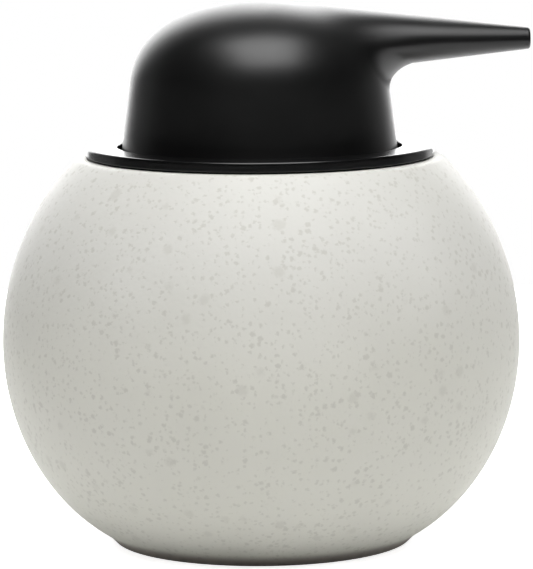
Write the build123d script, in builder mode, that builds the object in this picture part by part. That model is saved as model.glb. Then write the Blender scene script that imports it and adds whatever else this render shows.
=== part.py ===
from build123d import *
from math import asin, cos, pi, radians, sin, sqrt, tan
import os

# Soap dispenser: a round glazed jar and a plug-in pump under a domed press head.
# Millimetres, +Z up, origin at the centre of the foot, spout along +X.

os.makedirs("parts", exist_ok=True)

# Jar
JAR_DIAMETER = 109.4
JAR_BELLY_HEIGHT = 42.7
JAR_BELLY_OFFSET = 16.5
JAR_BASE_DIAMETER = 66.3
JAR_SHOULDER_RISE = 55.1
JAR_WALL = 5.0
JAR_FLOOR = 4.0
JAR_FLOOR_ROUND = 5.0
RIM_WIDTH = 5.0
RIM_ROUND = 1.5
MOUTH_CHAMFER = 0.5
THROAT_LENGTH = 5.6
THROAT_FLARE = 4.1
FOOT_HEIGHT = 2.0
FOOT_INSET = 2.0
FOOT_WIDTH = 5.0
FOOT_RECESS = 2.0
FOOT_ROUND = 0.5

# Press head
HEAD_BASE_RADIUS = 28.95
HEAD_HEIGHT = 30.25
HEAD_DRAFT = 7.4
HEAD_SHOULDER_HEIGHT = 13.85
CROWN_FULLNESS = 0.60
CROWN_WALL = 2.8
SKIRT_DEPTH = 2.0
SKIRT_WALL = 2.2
HEAD_GAP = 0.8
SNAP_BEAD = 0.35

# Spout
SPOUT_REACH = 57.0
SPOUT_TIP_RADIUS = 2.05
SPOUT_TAPER = 6.5
SPOUT_MEET_ANGLE = 6.2
SPOUT_BLEND = 5.3
SPOUT_WALL = 1.8
SPOUT_TIP_WALL = 0.8
SPOUT_TIP_ROUND = 0.6
SPOUT_TUBE_WALL = 0.4

# Collar cup
COLLAR_WIDTH = 6.7
COLLAR_THICKNESS = 2.05
COLLAR_EDGE = 0.6
WELL_WALL = 2.0
WELL_FLOOR = 2.0
WELL_FLOOR_ROUND = 1.0
WELL_FLOOR_GAP = 1.55
NECK_HEIGHT = 7.0
NECK_WALL = 2.5

# Mouth seal
SEAL_SPACE = 1.5
SEAL_FLANGE = 0.4
SEAL_FLANGE_WIDTH = 3.5
SEAL_GROOVE = 0.8
SEAL_SLEEVE = 1.2
SEAL_HEIGHT = 5.0
SEAL_LIP = 0.9

# Pump housing and its clamp
PRESS_TRAVEL = 11.0
BORE_RADIUS = 6.0
HOUSING_WALL = 1.1
HOUSING_FLANGE = 1.4
GASKET_THICKNESS = 0.8
VENT_RADIUS = 0.5
CHAPLET_FLANGE = 1.2
CHAPLET_LENGTH = 8.5
CHAPLET_WALL = 1.2
CHAPLET_GUIDE = 2.0
CHAPLET_COLLAR = 1.6
NUT_PLATE = 1.4
NUT_WALL = 2.2
NUT_FLUTES = 30
NUT_FLUTE_RADIUS = 0.7
NUT_FLUTE_DEPTH = 0.35

# Stem, piston and its retainer
STEM_RADIUS = 3.5
STEM_BORE = 1.25
STEM_SOCKET = 6.0
STEM_NECK = 2.6
PISTON_HEIGHT = 7.0
PISTON_BODY = 4.6
PISTON_LIP = 0.7
PISTON_LIP_DEPTH = 1.8
RETAINER_FLANGE = 1.3
RETAINER_SPIGOT = 1.85
RETAINER_SPIGOT_LENGTH = 5.0
RETAINER_BORE = 1.1
RETAINER_BOSS = 2.0

# Return spring
SPRING_RADIUS = 4.0
SPRING_WIRE = 0.9
SPRING_COILS = 5
SPRING_END_GAP = 0.45
SPRING_RESERVE = 2.7
SPRING_SAMPLES = 100

# Valves and dip tube
INLET_BALL_RADIUS = 2.5
INLET_LIFT = 1.5
INLET_HOLE_MARGIN = 0.2
CAGE_THICKNESS = 1.4
CAGE_HOLES = 4
CAGE_HOLE_RADIUS = 0.75
SEAT_WEB = 1.2
SOCKET_DEPTH = 10.0
SOCKET_WALL = 1.8
DIP_TUBE_RADIUS = 2.4
DIP_TUBE_WALL = 0.65
DIP_TUBE_FLOOR_GAP = 2.5
DIP_TUBE_CUT_ANGLE = 35.0
OUTLET_BALL_RADIUS = 2.0
OUTLET_LIFT = 1.2
OUTLET_STOP_RADIUS = 0.8

# Head core
HUB_GAP = 1.0
HUB_WALL = 2.0
HUB_ROOF = 1.5
CORE_PLATE = 2.0
CORE_HOLES = 6
CORE_HOLE_RADIUS = 4.6
CORE_RIB_THICKNESS = 1.6
CORE_RIB_HEIGHT = 7.0
BOSS_REACH = 11.0
BOSS_WALL = 1.3

# Fits
RUN_CLEARANCE = 0.06
PRESS_CLEARANCE = 0.03
AXIAL_PLAY = 0.05
LOOSE_CLEARANCE = 0.4
THREAD_CLEARANCE = 0.25
SEAL_CLEARANCE = 0.15
BALL_CLEARANCE = 0.03
BALL_SIDE_GAP = 0.5

# Radii that follow from the press head outwards
draft = tan(radians(HEAD_DRAFT))
shoulder_radius = HEAD_BASE_RADIUS - draft * HEAD_SHOULDER_HEIGHT
skirt_radius = HEAD_BASE_RADIUS + draft * SKIRT_DEPTH
hole_radius = skirt_radius + HEAD_GAP
collar_radius = hole_radius + COLLAR_WIDTH
well_radius = hole_radius + WELL_WALL
mouth_radius = well_radius + SEAL_SPACE
rim_radius = mouth_radius + RIM_WIDTH

# Radii that follow from the pump's bore outwards
housing_radius = BORE_RADIUS + HOUSING_WALL
neck_bore = housing_radius + LOOSE_CLEARANCE
neck_radius = neck_bore + NECK_WALL
nut_bore = neck_radius + THREAD_CLEARANCE
nut_radius = nut_bore + NUT_WALL
guide_radius = STEM_RADIUS + RUN_CLEARANCE
plug_radius = BORE_RADIUS - PRESS_CLEARANCE
inlet_chamber = INLET_BALL_RADIUS + BALL_SIDE_GAP
inlet_hole = INLET_BALL_RADIUS / sqrt(2) - INLET_HOLE_MARGIN
socket_radius = DIP_TUBE_RADIUS + PRESS_CLEARANCE
socket_outer = max(socket_radius, inlet_chamber) + SOCKET_WALL
outlet_chamber = OUTLET_BALL_RADIUS + BALL_SIDE_GAP
hub_radius = STEM_RADIUS + HUB_WALL

# Jar's outer curve: an ellipse about the axis above the belly, one centred off the axis below it
jar_radius = JAR_DIAMETER / 2
base_radius = JAR_BASE_DIAMETER / 2
belly_width = jar_radius - JAR_BELLY_OFFSET
belly_drop = JAR_BELLY_HEIGHT - FOOT_HEIGHT
belly_drop /= sqrt(1 - ((base_radius - JAR_BELLY_OFFSET) / belly_width) ** 2)

# Heights of the jar
rim_z = JAR_BELLY_HEIGHT + JAR_SHOULDER_RISE * sqrt(1 - (rim_radius / jar_radius) ** 2)
floor_z = FOOT_RECESS + JAR_FLOOR
throat_z = rim_z - THROAT_LENGTH

# Heights of the pump, from the collar down to the dip tube
collar_z = rim_z + SEAL_FLANGE
collar_top = collar_z + COLLAR_THICKNESS
skirt_z = collar_top - SKIRT_DEPTH
well_z = skirt_z - PRESS_TRAVEL - WELL_FLOOR_GAP
neck_top = well_z + NECK_HEIGHT
flange_z = neck_top + GASKET_THICKNESS
flange_top = flange_z + HOUSING_FLANGE
nut_seat = flange_top + CHAPLET_FLANGE
nut_top = nut_seat + NUT_PLATE
chaplet_z = flange_top - CHAPLET_LENGTH
piston_top = chaplet_z - AXIAL_PLAY
piston_z = piston_top - PISTON_HEIGHT
retainer_top = piston_z - AXIAL_PLAY
spring_top = retainer_top - RETAINER_FLANGE
spring_length = PRESS_TRAVEL + (SPRING_COILS + 3) * SPRING_WIRE + SPRING_RESERVE
spring_z = spring_top - spring_length
cage_z = spring_z - CAGE_THICKNESS
inlet_ball_z = cage_z - BALL_CLEARANCE - INLET_LIFT - INLET_BALL_RADIUS
inlet_apex = inlet_ball_z - (INLET_BALL_RADIUS + BALL_CLEARANCE) * sqrt(2)
socket_top = inlet_apex + inlet_hole - SEAT_WEB
housing_z = socket_top - SOCKET_DEPTH
dip_tube_z = floor_z + DIP_TUBE_FLOOR_GAP

# Heights of the press head
hub_z = nut_top + PRESS_TRAVEL + HUB_GAP
plate_top = hub_z + CORE_PLATE
stem_top = hub_z + STEM_SOCKET
shoulder_z = collar_top + HEAD_SHOULDER_HEIGHT
head_top = collar_top + HEAD_HEIGHT
outlet_apex = stem_top - outlet_chamber
outlet_ball_z = outlet_apex + (OUTLET_BALL_RADIUS + BALL_CLEARANCE) * sqrt(2)
outlet_stop_z = outlet_ball_z + OUTLET_BALL_RADIUS + OUTLET_LIFT + BALL_CLEARANCE


def jar_curve(offset, width, height, start, end):
    """Control points of a cubic along an ellipse at the belly's height, from angle to angle."""
    handle = 4 / 3 * tan((end - start) / 4)
    points = []
    for angle, step in ((start, 0), (start, handle), (end, -handle), (end, 0)):
        x = offset + width * (cos(angle) - step * sin(angle))
        points.append((x, JAR_BELLY_HEIGHT + height * (sin(angle) + step * cos(angle))))
    return points


def dome_points(wall):
    """Control points of the crown, drawn on the -X side, a wall inside the outer face."""
    radius = shoulder_radius - wall
    top = head_top - wall
    handle = CROWN_FULLNESS * (top - shoulder_z)
    return (
        (-radius, shoulder_z),
        (-radius + draft * handle, shoulder_z + handle),
        (-CROWN_FULLNESS * radius, top),
        (0, top),
    )


def skirt_inside(z):
    """Inner radius of the head's skirt at a height."""
    return HEAD_BASE_RADIUS - SKIRT_WALL - draft * (z - collar_top)


# The spout's top line runs out on the crown at a fixed angle to it
spout_slope = tan(radians(SPOUT_TAPER))
crown_edge = Edge.make_bezier(*dome_points(0))
meet = crown_edge @ crown_edge.find_tangent(SPOUT_TAPER + SPOUT_MEET_ANGLE)[0]
spout_z = meet.Y - SPOUT_TIP_RADIUS - spout_slope * (SPOUT_REACH + meet.X)
spout_axis = Axis((0, 0, spout_z), (1, 0, 0))
tip_bore = SPOUT_TIP_RADIUS - SPOUT_TIP_WALL
tube_radius = tip_bore - PRESS_CLEARANCE
tube_start = outlet_chamber + BALL_SIDE_GAP
boss_radius = tube_radius + PRESS_CLEARANCE + BOSS_WALL
chamber_top = max(spout_z + tube_radius, outlet_stop_z + OUTLET_STOP_RADIUS)

# Jar: one shell turned from its section, with throat, floor and foot ring
shoulder_inside = JAR_SHOULDER_RISE - JAR_WALL
belly_inside = belly_drop - JAR_WALL
foot_angle = asin((JAR_BELLY_HEIGHT - FOOT_HEIGHT) / belly_drop)
rim_angle = asin((rim_z - JAR_BELLY_HEIGHT) / JAR_SHOULDER_RISE)
floor_angle = asin((JAR_BELLY_HEIGHT - floor_z) / belly_inside)
flare_angle = asin((throat_z - THROAT_FLARE - JAR_BELLY_HEIGHT) / shoulder_inside)
with BuildPart() as jar:
    with BuildSketch(Plane.XZ) as jar_section:
        with BuildLine():
            belly = Bezier(*jar_curve(JAR_BELLY_OFFSET, belly_width, belly_drop, -foot_angle, 0))
            shoulder = Bezier(*jar_curve(0, jar_radius, JAR_SHOULDER_RISE, 0, rim_angle))
            hollow = Bezier(
                *jar_curve(JAR_BELLY_OFFSET, belly_width - JAR_WALL, belly_inside, -floor_angle, 0)
            )
            vault = Bezier(*jar_curve(0, jar_radius - JAR_WALL, shoulder_inside, 0, flare_angle))
            Polyline(
                shoulder @ 1,
                (mouth_radius + MOUTH_CHAMFER, rim_z),
                (mouth_radius, rim_z - MOUTH_CHAMFER),
                (mouth_radius, throat_z),
                vault @ 1,
            )
            foot_radius = base_radius - FOOT_INSET
            Polyline(
                hollow @ 0,
                (0, floor_z),
                (0, FOOT_RECESS),
                (foot_radius - FOOT_WIDTH, FOOT_RECESS),
                (foot_radius - FOOT_WIDTH, 0),
                (foot_radius, 0),
                belly @ 0,
            )
        make_face()
        for corner, radius in (
            ((rim_radius, rim_z), RIM_ROUND),
            (hollow @ 0, JAR_FLOOR_ROUND),
            ((foot_radius, 0), FOOT_ROUND),
            ((foot_radius - FOOT_WIDTH, 0), FOOT_ROUND),
        ):
            fillet(jar_section.vertices().sort_by_distance(corner)[0], radius)
    revolve(axis=Axis.Z)
jar.part.label = "jar"
export_step(jar.part, "parts/jar.step")

# Collar cup: collar disc, well for the head and the neck the pump is clamped to
groove_radius = well_radius - SEAL_GROOVE
groove_z = collar_z - SEAL_HEIGHT
with BuildPart() as collar_cup:
    with BuildSketch(Plane.XZ) as cup_section:
        with BuildLine():
            Polyline(
                (hole_radius, collar_top),
                (collar_radius, collar_top),
                (collar_radius, collar_z),
                (groove_radius, collar_z),
                (groove_radius, groove_z),
                (well_radius, groove_z),
                (well_radius, well_z - WELL_FLOOR),
                (neck_bore, well_z - WELL_FLOOR),
                (neck_bore, neck_top),
                (neck_radius, neck_top),
                (neck_radius, well_z),
                (hole_radius, well_z),
                close=True,
            )
        make_face()
        for corner, radius in (
            ((collar_radius, collar_top), COLLAR_EDGE),
            ((hole_radius, collar_top), COLLAR_EDGE),
            ((well_radius, well_z - WELL_FLOOR), WELL_FLOOR_ROUND),
        ):
            fillet(cup_section.vertices().sort_by_distance(corner)[0], radius)
    revolve(axis=Axis.Z)
collar_cup.part.label = "collar_cup"
export_step(collar_cup.part, "parts/collar_cup.step")

# Mouth seal: soft ring in the cup's groove, with two lips towards the jar's mouth
sleeve_radius = groove_radius + SEAL_SLEEVE
lip_radius = mouth_radius - SEAL_CLEARANCE
with BuildPart() as mouth_seal:
    with BuildSketch(Plane.XZ):
        with BuildLine():
            Polyline(
                (groove_radius, collar_z),
                (well_radius + SEAL_FLANGE_WIDTH, collar_z),
                (well_radius + SEAL_FLANGE_WIDTH, rim_z),
                (sleeve_radius, rim_z),
                (sleeve_radius, rim_z - SEAL_LIP),
                (lip_radius, rim_z - 2 * SEAL_LIP + SEAL_CLEARANCE),
                (sleeve_radius, rim_z - 2 * SEAL_LIP),
                (sleeve_radius, rim_z - 3 * SEAL_LIP),
                (lip_radius, rim_z - 4 * SEAL_LIP + SEAL_CLEARANCE),
                (sleeve_radius, rim_z - 4 * SEAL_LIP),
                (sleeve_radius, groove_z),
                (groove_radius, groove_z),
                close=True,
            )
        make_face()
    revolve(axis=Axis.Z)
mouth_seal.part.label = "mouth_seal"
export_step(mouth_seal.part, "parts/mouth_seal.step")

# Housing gasket between the neck and the housing's flange
with BuildPart() as housing_gasket:
    with BuildSketch(Plane.XY.offset(neck_top)):
        Circle(neck_radius)
        Circle(neck_bore, mode=Mode.SUBTRACT)
    extrude(amount=GASKET_THICKNESS)
housing_gasket.part.label = "housing_gasket"
export_step(housing_gasket.part, "parts/housing_gasket.step")

# Pump housing: flange, bore, inlet seat and tube socket in one turned section
with BuildPart() as pump_housing:
    with BuildSketch(Plane.XZ):
        with BuildLine():
            Polyline(
                (BORE_RADIUS, flange_top),
                (neck_radius, flange_top),
                (neck_radius, flange_z),
                (housing_radius, flange_z),
                (housing_radius, cage_z - HOUSING_WALL),
                (socket_outer, inlet_apex + inlet_chamber),
                (socket_outer, housing_z),
                (socket_radius, housing_z),
                (socket_radius, socket_top),
                (inlet_hole, socket_top),
                (inlet_hole, inlet_apex + inlet_hole),
                (inlet_chamber, inlet_apex + inlet_chamber),
                (inlet_chamber, cage_z),
                (BORE_RADIUS, cage_z),
                close=True,
            )
        make_face()
    revolve(axis=Axis.Z)
    with BuildSketch(Plane.YZ):
        with Locations((0, (well_z + neck_top) / 2)):
            Circle(VENT_RADIUS)
    extrude(amount=neck_bore, mode=Mode.SUBTRACT)
pump_housing.part.label = "pump_housing"
export_step(pump_housing.part, "parts/pump_housing.step")

# Chaplet: bush that closes the housing and guides the stem
with BuildPart() as chaplet:
    with BuildSketch(Plane.XZ):
        with BuildLine():
            Polyline(
                (guide_radius, nut_top),
                (guide_radius + CHAPLET_COLLAR, nut_top),
                (guide_radius + CHAPLET_COLLAR, nut_seat),
                (neck_radius, nut_seat),
                (neck_radius, flange_top),
                (plug_radius, flange_top),
                (plug_radius, chaplet_z),
                (plug_radius - CHAPLET_WALL, chaplet_z),
                (plug_radius - CHAPLET_WALL, flange_top - CHAPLET_GUIDE),
                (guide_radius, flange_top - CHAPLET_GUIDE),
                close=True,
            )
        make_face()
    revolve(axis=Axis.Z)
chaplet.part.label = "chaplet"
export_step(chaplet.part, "parts/chaplet.step")

# Screw collar: fluted ring nut over the neck
with BuildPart() as screw_collar:
    with BuildSketch(Plane.XZ):
        with BuildLine():
            Polyline(
                (guide_radius + CHAPLET_COLLAR + RUN_CLEARANCE, nut_top),
                (nut_radius - NUT_PLATE, nut_top),
                (nut_radius, nut_top - NUT_PLATE),
                (nut_radius, well_z + LOOSE_CLEARANCE),
                (nut_bore, well_z + LOOSE_CLEARANCE),
                (nut_bore, nut_seat),
                (guide_radius + CHAPLET_COLLAR + RUN_CLEARANCE, nut_seat),
                close=True,
            )
        make_face()
    revolve(axis=Axis.Z)
    with BuildSketch(Plane.XY.offset(well_z)):
        with PolarLocations(nut_radius + NUT_FLUTE_RADIUS - NUT_FLUTE_DEPTH, NUT_FLUTES):
            Circle(NUT_FLUTE_RADIUS)
    extrude(amount=nut_top - NUT_PLATE - well_z, mode=Mode.SUBTRACT)
screw_collar.part.label = "screw_collar"
export_step(screw_collar.part, "parts/screw_collar.step")

# Ball cage: perforated disc over the inlet ball, under the spring
with BuildPart() as ball_cage:
    with BuildSketch(Plane.XY.offset(cage_z)):
        Circle(plug_radius)
        with PolarLocations(inlet_chamber - CAGE_HOLE_RADIUS, CAGE_HOLES):
            Circle(CAGE_HOLE_RADIUS, mode=Mode.SUBTRACT)
    extrude(amount=CAGE_THICKNESS)
ball_cage.part.label = "ball_cage"
export_step(ball_cage.part, "parts/ball_cage.step")

# Inlet ball on its conical seat
with BuildPart() as inlet_ball:
    with Locations((0, 0, inlet_ball_z)):
        Sphere(INLET_BALL_RADIUS)
inlet_ball.part.label = "inlet_ball"
export_step(inlet_ball.part, "parts/inlet_ball.step")

# Dip tube with a slanted lower end
with BuildPart() as dip_tube:
    with BuildSketch(Plane.XY.offset(dip_tube_z)):
        Circle(DIP_TUBE_RADIUS)
        Circle(DIP_TUBE_RADIUS - DIP_TUBE_WALL, mode=Mode.SUBTRACT)
    extrude(amount=socket_top - dip_tube_z)
    cut_angle = radians(DIP_TUBE_CUT_ANGLE)
    cut_plane = Plane(
        origin=(DIP_TUBE_RADIUS, 0, dip_tube_z), z_dir=(sin(cut_angle), 0, cos(cut_angle))
    )
    split(bisect_by=cut_plane, keep=Keep.TOP)
dip_tube.part.label = "dip_tube"
export_step(dip_tube.part, "parts/dip_tube.step")

# Return spring: one wire on biarcs of a quarter turn, with a closed coil at each end
end_pitch = SPRING_WIRE + SPRING_END_GAP
active_rise = spring_length - SPRING_WIRE - 2 * end_pitch
quarters = 4 * (SPRING_COILS + 2)
rises = [end_pitch / 4] * 4 + [active_rise / SPRING_COILS / 4] * 4 * SPRING_COILS + [end_pitch / 4] * 4
levels = [spring_z + SPRING_WIRE / 2 + sum(rises[:i]) for i in range(quarters + 1)]
steps = [rises[0]] + [(a + b) / 2 for a, b in zip(rises, rises[1:])] + [rises[-1]]
knots = []
for i, level in enumerate(levels):
    angle = i * pi / 2
    point = Vector(SPRING_RADIUS * cos(angle), SPRING_RADIUS * sin(angle), level)
    heading = Vector(-SPRING_RADIUS * sin(angle), SPRING_RADIUS * cos(angle), steps[i] / (pi / 2))
    knots.append((point, heading.normalized()))
with BuildPart() as return_spring:
    with BuildLine() as coil:
        for (start, leave), (end, arrive) in zip(knots, knots[1:]):
            chord = end - start
            along = chord.dot(leave + arrive)
            turn = 2 * (1 - leave.dot(arrive))
            reach = (sqrt(along**2 + turn * chord.dot(chord)) - along) / turn
            before = start + leave * reach
            after = end - arrive * reach
            middle = (before + after) * 0.5
            TangentArc(start, middle, tangent=leave)
            TangentArc(middle, end, tangent=after - before)
    with BuildSketch(Plane(origin=knots[0][0], z_dir=knots[0][1])):
        Circle(SPRING_WIRE / 2)
    sweep(path=coil.wires()[0])
return_spring.part.label = "return_spring"
export_step(return_spring.part, "parts/return_spring.step")
path = coil.wires()[0]
last = SPRING_SAMPLES * (SPRING_COILS + 2)
samples = [path @ (i / last) for i in range(last + 1)]
apart = range(SPRING_SAMPLES // 2, last + 1)
least = min((samples[i] - samples[i + n]).length for n in apart for i in range(last + 1 - n))
print("least gap between the spring's coils:", round(least - SPRING_WIRE, 3), "mm")

# Piston: ring with a lip at each end, free to turn on the stem's neck
piston_radius = BORE_RADIUS - RUN_CLEARANCE
with BuildPart() as piston:
    with BuildSketch(Plane.XZ):
        with BuildLine():
            Polyline(
                (STEM_NECK + RUN_CLEARANCE, piston_z),
                (PISTON_BODY, piston_z),
                (PISTON_BODY, piston_z + PISTON_LIP_DEPTH),
                (piston_radius - PISTON_LIP, piston_z),
                (piston_radius, piston_z),
                (piston_radius, piston_z + PISTON_LIP),
                (PISTON_BODY + PISTON_LIP / 2, piston_z + PISTON_LIP_DEPTH + PISTON_LIP),
                (PISTON_BODY + PISTON_LIP / 2, piston_top - PISTON_LIP_DEPTH - PISTON_LIP),
                (piston_radius, piston_top - PISTON_LIP),
                (piston_radius, piston_top),
                (piston_radius - PISTON_LIP, piston_top),
                (PISTON_BODY, piston_top - PISTON_LIP_DEPTH),
                (PISTON_BODY, piston_top),
                (STEM_NECK + RUN_CLEARANCE, piston_top),
                close=True,
            )
        make_face()
    revolve(axis=Axis.Z)
piston.part.label = "piston"
export_step(piston.part, "parts/piston.step")

# Piston retainer: hollow plug under the piston, which also centres the spring
spring_bore = SPRING_RADIUS - SPRING_WIRE / 2
with BuildPart() as piston_retainer:
    with BuildSketch(Plane.XZ):
        with BuildLine():
            Polyline(
                (RETAINER_BORE, retainer_top + RETAINER_SPIGOT_LENGTH),
                (RETAINER_SPIGOT, retainer_top + RETAINER_SPIGOT_LENGTH),
                (RETAINER_SPIGOT, retainer_top),
                (PISTON_BODY, retainer_top),
                (PISTON_BODY, spring_top),
                (spring_bore - LOOSE_CLEARANCE, spring_top),
                (spring_bore - LOOSE_CLEARANCE, spring_top - RETAINER_BOSS),
                (RETAINER_BORE, spring_top - RETAINER_BOSS),
                close=True,
            )
        make_face()
    revolve(axis=Axis.Z)
piston_retainer.part.label = "piston_retainer"
export_step(piston_retainer.part, "parts/piston_retainer.step")

# Stem: hollow shaft from the piston to the outlet seat
spigot_bore = RETAINER_SPIGOT + PRESS_CLEARANCE
spigot_top = retainer_top + RETAINER_SPIGOT_LENGTH
with BuildPart() as stem:
    with BuildSketch(Plane.XZ):
        with BuildLine():
            Polyline(
                (outlet_chamber, stem_top),
                (STEM_RADIUS, stem_top),
                (STEM_RADIUS, piston_top + AXIAL_PLAY),
                (STEM_NECK, piston_top + AXIAL_PLAY),
                (STEM_NECK, retainer_top),
                (spigot_bore, retainer_top),
                (spigot_bore, spigot_top),
                (STEM_BORE, spigot_top),
                (STEM_BORE, outlet_apex + STEM_BORE),
                close=True,
            )
        make_face()
    revolve(axis=Axis.Z)
stem.part.label = "stem"
export_step(stem.part, "parts/stem.step")

# Outlet ball on the stem's seat
with BuildPart() as outlet_ball:
    with Locations((0, 0, outlet_ball_z)):
        Sphere(OUTLET_BALL_RADIUS)
outlet_ball.part.label = "outlet_ball"
export_step(outlet_ball.part, "parts/outlet_ball.step")

# Head core: spider plate, hub with the outlet chamber, and the boss for the spout tube
with BuildPart() as head_core:
    with BuildSketch(Plane.XZ):
        with BuildLine():
            Polyline(
                (0, hub_z),
                (skirt_inside(hub_z) - PRESS_CLEARANCE, hub_z),
                (skirt_inside(plate_top) - PRESS_CLEARANCE, plate_top),
                (hub_radius, plate_top),
                (hub_radius, chamber_top + HUB_ROOF),
                (0, chamber_top + HUB_ROOF),
                close=True,
            )
        make_face()
    revolve(axis=Axis.Z)
    hole_ring = (hub_radius + skirt_inside(plate_top)) / 2
    with BuildSketch(Plane.XY.offset(hub_z)):
        with PolarLocations(hole_ring, CORE_HOLES):
            Circle(CORE_HOLE_RADIUS)
    extrude(amount=CORE_PLATE, mode=Mode.SUBTRACT)
    rib_planes = [
        Plane(origin=(0, 0, plate_top), x_dir=(cos(a), sin(a), 0), z_dir=(sin(a), -cos(a), 0))
        for a in (pi / 2, 7 * pi / 6, 11 * pi / 6)
    ]
    with BuildSketch(*rib_planes):
        with BuildLine():
            Polyline(
                (hub_radius / 2, 0),
                (hole_ring + CORE_HOLE_RADIUS, 0),
                (hub_radius, CORE_RIB_HEIGHT),
                (hub_radius / 2, CORE_RIB_HEIGHT),
                close=True,
            )
        make_face()
    extrude(amount=CORE_RIB_THICKNESS / 2, both=True)
    with BuildSketch(Plane.YZ):
        with Locations((0, spout_z)):
            Circle(boss_radius)
    extrude(amount=BOSS_REACH)
    with BuildSketch(Plane.XZ):
        with BuildLine():
            Polyline(
                (0, hub_z),
                (STEM_RADIUS + PRESS_CLEARANCE, hub_z),
                (STEM_RADIUS + PRESS_CLEARANCE, stem_top),
                (outlet_chamber, stem_top),
                (outlet_chamber, chamber_top),
                (OUTLET_STOP_RADIUS, chamber_top),
                (OUTLET_STOP_RADIUS, outlet_stop_z),
                (0, outlet_stop_z),
                close=True,
            )
        make_face()
    revolve(axis=Axis.Z, mode=Mode.SUBTRACT)
    with BuildSketch(Plane.YZ.offset(outlet_chamber - BALL_SIDE_GAP)):
        with Locations((0, spout_z)):
            Circle(tube_radius + PRESS_CLEARANCE)
    extrude(amount=BOSS_REACH, mode=Mode.SUBTRACT)
head_core.part.label = "head_core"
export_step(head_core.part, "parts/head_core.step")

# Spout tube: liner from the hub to the tip
with BuildPart() as spout_tube:
    with BuildSketch(Plane.YZ.offset(tube_start)):
        with Locations((0, spout_z)):
            Circle(tube_radius)
            Circle(tube_radius - SPOUT_TUBE_WALL, mode=Mode.SUBTRACT)
    extrude(amount=SPOUT_REACH - SPOUT_TIP_ROUND - tube_start)
spout_tube.part.label = "spout_tube"
export_step(spout_tube.part, "parts/spout_tube.step")

# Head shell: drafted dome and tapered spout, blended, then hollowed
ledge_radius = skirt_inside(plate_top) - (CROWN_WALL - SKIRT_WALL)
core_x = SPOUT_REACH - (SPOUT_WALL - SPOUT_TIP_WALL) / spout_slope
with BuildPart() as head_shell:
    with BuildSketch(Plane.XZ):
        with BuildLine():
            base = Line((0, skirt_z), (-skirt_radius, skirt_z))
            side = Line(base @ 1, (-shoulder_radius, shoulder_z))
            crown = Bezier(*dome_points(0))
            Line(crown @ 1, base @ 0)
        make_face()
    revolve(axis=Axis.Z)
    with BuildSketch(Plane.XZ):
        with BuildLine():
            Polyline(
                (STEM_RADIUS, spout_z),
                (SPOUT_REACH, spout_z),
                (SPOUT_REACH, spout_z - SPOUT_TIP_RADIUS),
                (STEM_RADIUS, spout_z - SPOUT_TIP_RADIUS - spout_slope * (SPOUT_REACH - STEM_RADIUS)),
                close=True,
            )
        make_face()
    revolve(axis=spout_axis)
    fillet(head_shell.edges().filter_by(GeomType.BSPLINE), SPOUT_BLEND)
    fillet(head_shell.edges().filter_by(GeomType.CIRCLE).sort_by(Axis.X)[-1], SPOUT_TIP_ROUND)
    with BuildSketch(Plane.XZ):
        with BuildLine():
            mouth = Line((0, skirt_z), (-skirt_inside(skirt_z), skirt_z))
            wall = Line(mouth @ 1, (-skirt_inside(plate_top), plate_top))
            ledge = Line(wall @ 1, (-ledge_radius, plate_top))
            ceiling = Bezier(*dome_points(CROWN_WALL))
            Line(ledge @ 1, ceiling @ 0)
            Line(ceiling @ 1, mouth @ 0)
        make_face()
    revolve(axis=Axis.Z, mode=Mode.SUBTRACT)
    with BuildSketch(Plane.XZ):
        with BuildLine():
            Polyline(
                (BOSS_REACH, spout_z),
                (SPOUT_REACH, spout_z),
                (SPOUT_REACH, spout_z - tip_bore),
                (core_x, spout_z - tip_bore),
                (BOSS_REACH, spout_z - tip_bore - spout_slope * (core_x - BOSS_REACH)),
                close=True,
            )
        make_face()
    revolve(axis=spout_axis, mode=Mode.SUBTRACT)
    with BuildSketch(Plane.XZ):
        with Locations((-skirt_inside(hub_z - SNAP_BEAD), hub_z - SNAP_BEAD - AXIAL_PLAY)):
            Circle(SNAP_BEAD)
    revolve(axis=Axis.Z)
head_shell.part.label = "head_shell"
export_step(head_shell.part, "parts/head_shell.step")
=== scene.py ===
from math import asin, cos, pi, radians, sin, sqrt, tan

import bpy
import numpy as np
from mathutils import Matrix, Vector


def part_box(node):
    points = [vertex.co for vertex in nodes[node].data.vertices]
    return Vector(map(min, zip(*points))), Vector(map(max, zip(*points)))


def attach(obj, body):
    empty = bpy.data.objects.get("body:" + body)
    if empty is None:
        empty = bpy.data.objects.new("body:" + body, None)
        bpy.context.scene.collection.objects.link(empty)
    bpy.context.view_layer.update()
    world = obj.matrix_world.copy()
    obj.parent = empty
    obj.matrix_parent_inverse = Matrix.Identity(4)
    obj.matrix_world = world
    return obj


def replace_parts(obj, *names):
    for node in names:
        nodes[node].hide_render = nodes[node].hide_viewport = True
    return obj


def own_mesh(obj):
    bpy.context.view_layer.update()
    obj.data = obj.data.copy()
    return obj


# Soap dispenser: a speckled stoneware jar under a black collar and a domed pump head.
# Lengths are millimetres until a mesh is made, and metres in the frame, the finishes and the
# lights; +Z is up and the spout points along +X.

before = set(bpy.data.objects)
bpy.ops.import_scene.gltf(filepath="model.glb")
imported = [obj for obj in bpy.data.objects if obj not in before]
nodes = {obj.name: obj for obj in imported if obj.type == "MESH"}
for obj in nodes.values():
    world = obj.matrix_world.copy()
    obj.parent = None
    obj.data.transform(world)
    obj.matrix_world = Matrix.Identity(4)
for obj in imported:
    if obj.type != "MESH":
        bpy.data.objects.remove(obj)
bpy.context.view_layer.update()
MM = 0.001
TINY = 1e-9

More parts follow.
